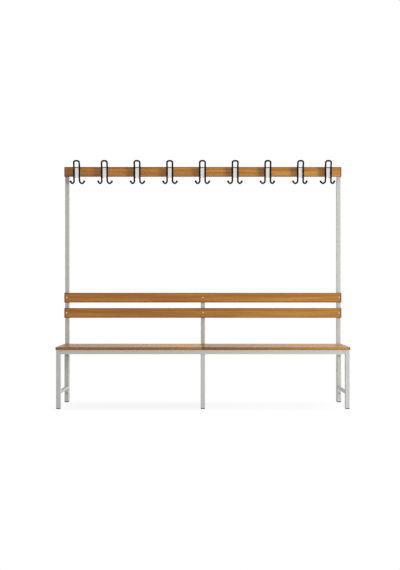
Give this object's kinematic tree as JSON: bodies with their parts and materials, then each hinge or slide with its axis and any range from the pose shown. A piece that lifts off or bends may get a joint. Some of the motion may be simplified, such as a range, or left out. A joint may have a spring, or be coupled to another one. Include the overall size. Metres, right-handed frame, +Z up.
{
  "type": "single-sided cloakroom bench",
  "caption": "Cloakroom bench with a slatted timber seat and back on a grey square-tube frame, with tall back posts that carry a timber rail of black double coat hooks.",
  "frame": {"origin": "on the floor at the middle of the bench's length and depth", "axes": "+X along the bench, to the right as seen from the front; +Y from the seat's front edge to the back; +Z up"},
  "size_m": [2, 0.4424, 1.7383],
  "materials": {
    "frame_paint": "light grey powder coat, satin with fine orange peel",
    "bracket_paint": "pale silver powder coat, satin",
    "seat_timber": "honey brown stained and lacquered hardwood",
    "back_timber": "honey brown stained and lacquered hardwood",
    "hook_coating": "black plastic dip coat on steel rod, semi-gloss",
    "foot_plastic": "black moulded polyethylene, matt",
    "bolt_steel": "dulled zinc plate",
    "bolt_brass": "yellow passivated dome heads, satin"
  },
  "bodies": {
    "root": {"left_front_leg": "frame_paint", "left_rear_leg": "frame_paint", "left_back_post": "frame_paint", "left_seat_bearer": "frame_paint", "left_stretcher": "frame_paint", "centre_front_leg": "frame_paint", "centre_rear_leg": "frame_paint", "centre_back_post": "frame_paint", "centre_seat_bearer": "frame_paint", "centre_stretcher": "frame_paint", "right_front_leg": "frame_paint", "right_rear_leg": "frame_paint", "right_back_post": "frame_paint", "right_seat_bearer": "frame_paint", "right_stretcher": "frame_paint", "left_seat_slat_1": "seat_timber", "left_seat_slat_2": "seat_timber", "left_seat_slat_3": "seat_timber", "left_seat_slat_4": "seat_timber", "left_seat_slat_5": "seat_timber", "right_seat_slat_1": "seat_timber", "right_seat_slat_2": "seat_timber", "right_seat_slat_3": "seat_timber", "right_seat_slat_4": "seat_timber", "right_seat_slat_5": "seat_timber", "front_rail": "frame_paint", "rear_rail": "frame_paint", "lower_back_slat": "back_timber", "upper_back_slat": "back_timber", "hook_rail": "back_timber", "coat_hook_1": "hook_coating", "hook_bracket_1": "bracket_paint", "coat_hook_2": "hook_coating", "hook_bracket_2": "bracket_paint", "coat_hook_3": "hook_coating", "hook_bracket_3": "bracket_paint", "coat_hook_4": "hook_coating", "hook_bracket_4": "bracket_paint", "coat_hook_5": "hook_coating", "hook_bracket_5": "bracket_paint", "coat_hook_6": "hook_coating", "hook_bracket_6": "bracket_paint", "coat_hook_7": "hook_coating", "hook_bracket_7": "bracket_paint", "coat_hook_8": "hook_coating", "hook_bracket_8": "bracket_paint", "coat_hook_9": "hook_coating", "hook_bracket_9": "bracket_paint", "foot_plugs": "foot_plastic", "post_caps": "foot_plastic", "post_bolts": "bolt_steel", "post_bolt_nuts": "bolt_steel", "slat_bolts": "bolt_brass", "slat_bolt_nuts": "bolt_steel", "hook_rail_screws": "bolt_steel", "hook_screws": "bolt_steel", "seat_screws": "bolt_steel"}
  },
  "joints": []
}
